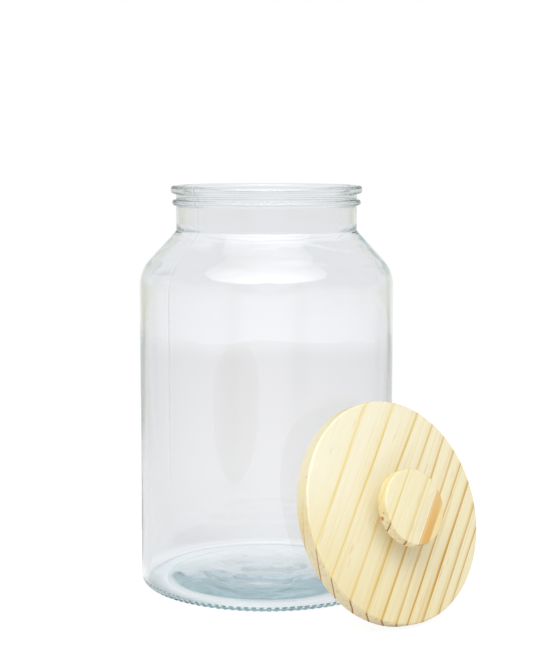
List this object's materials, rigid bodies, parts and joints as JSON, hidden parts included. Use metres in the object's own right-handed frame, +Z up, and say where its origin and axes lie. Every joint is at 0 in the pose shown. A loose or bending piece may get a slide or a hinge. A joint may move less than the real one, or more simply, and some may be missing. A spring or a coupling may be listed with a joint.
{
  "type": "glass storage jar with wooden lid",
  "caption": "Clear wide-mouth glass storage jar with ringed neck and coned shoulder, and a loose round pine lid with plug, seal and knob, leaning against it.",
  "frame": {"origin": "jar axis where it meets the surface that the jar stands on", "axes": "+Z up along the jar axis, -Y towards the leaning lid, +X to the right when facing the lid"},
  "size_m": [0.15, 0.2076, 0.236],
  "materials": {
    "clear_glass": "fire-polished, very slightly blue",
    "pine": "sanded, unvarnished",
    "pine_amber": "sanded, unvarnished, darker stave",
    "silicone": "moulded, translucent white",
    "zinc_steel": "zinc plated"
  },
  "bodies": {
    "jar": {"glass_jar": "clear_glass"},
    "lid": {"lid_disc": "pine", "lid_plug": "pine", "seal_ring": "silicone", "knob_stem": "pine", "knob_wide_stave": "pine", "knob_narrow_stave": "pine_amber", "knob_screw": "zinc_steel"}
  },
  "joints": [
    {"name": "lid_lift", "type": "slide", "parent": "jar", "child": "lid", "axis": [0, 0, 1], "range_m": [0, 0.25]}
  ]
}
